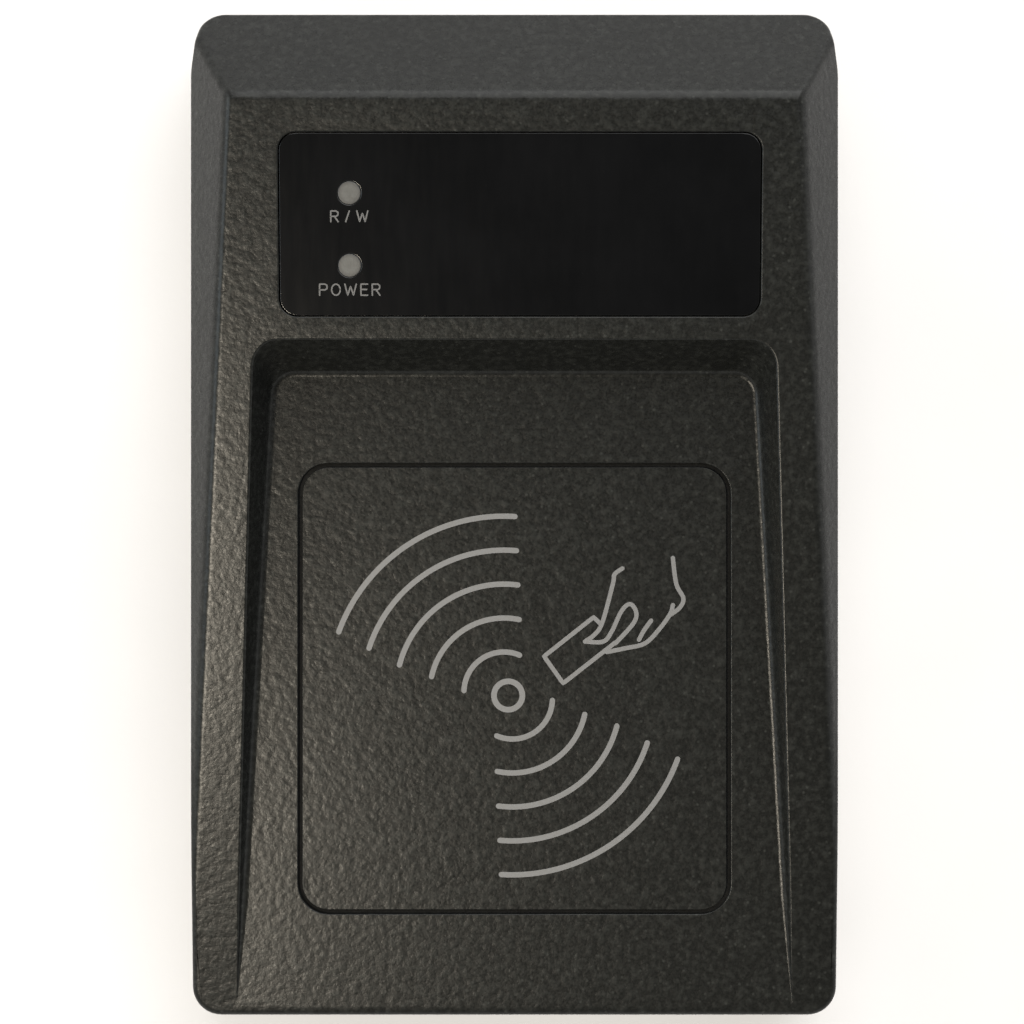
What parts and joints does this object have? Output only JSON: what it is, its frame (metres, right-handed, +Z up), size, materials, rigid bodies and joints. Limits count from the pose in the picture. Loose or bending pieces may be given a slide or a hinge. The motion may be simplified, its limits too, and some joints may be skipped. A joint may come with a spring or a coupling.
{
  "type": "rfid card reader",
  "caption": "Wedge-shaped desktop contactless card reader with an open card tray, a gloss indicator window and a data socket at the rear.",
  "frame": {"origin": "on the desk, under the middle of the reader's box", "axes": "+Z up, +Y to the thick rear end with the data socket, -Y to the user, +X to the user's right"},
  "size_m": [0.074, 0.1152, 0.0214],
  "materials": {
    "case_plastic": "fine spark-eroded texture, dark grey",
    "window_gloss": "polished, near black",
    "label_film": "fine textured dark grey film, printed in pale grey",
    "light_pipe": "frosted translucent grey",
    "foot_rubber": "matt black",
    "rating_film": "blank silver-grey film",
    "screw_steel": "zinc plated",
    "board_laminate": "green solder mask",
    "coil_copper": "copper trace under solder mask",
    "chip_resin": "moulded epoxy, tinned leads",
    "can_metal": "drawn metal can",
    "ferrite": "sintered ferrite",
    "ceramic_body": "sintered ceramic with tinned ends",
    "black_plastic": "moulded black",
    "led_plastic": "white moulded body",
    "socket_steel": "tin plated",
    "contact_gold": "gold plated"
  },
  "bodies": {
    "root": {"top_shell": "case_plastic", "bottom_shell": "case_plastic", "display_window": "window_gloss", "tray_label": "label_film", "light_pipe_status": "light_pipe", "light_pipe_power": "light_pipe", "rubber_feet": "foot_rubber", "rating_label": "rating_film", "case_screws": "screw_steel", "main_board": "board_laminate", "board_screws": "screw_steel", "antenna_coil": "coil_copper", "reader_chip": "chip_resin", "reader_crystal": "can_metal", "filter_inductors": "ferrite", "microcontroller": "chip_resin", "clock_crystal": "can_metal", "bridge_chip": "chip_resin", "voltage_regulator": "chip_resin", "reservoir_capacitor": "can_metal", "ceramic_capacitors": "ceramic_body", "chip_resistors": "chip_resin", "buzzer": "black_plastic", "status_led": "led_plastic", "power_led": "led_plastic", "socket_shell": "socket_steel", "socket_insulator": "black_plastic", "socket_contacts": "contact_gold"}
  },
  "joints": []
}
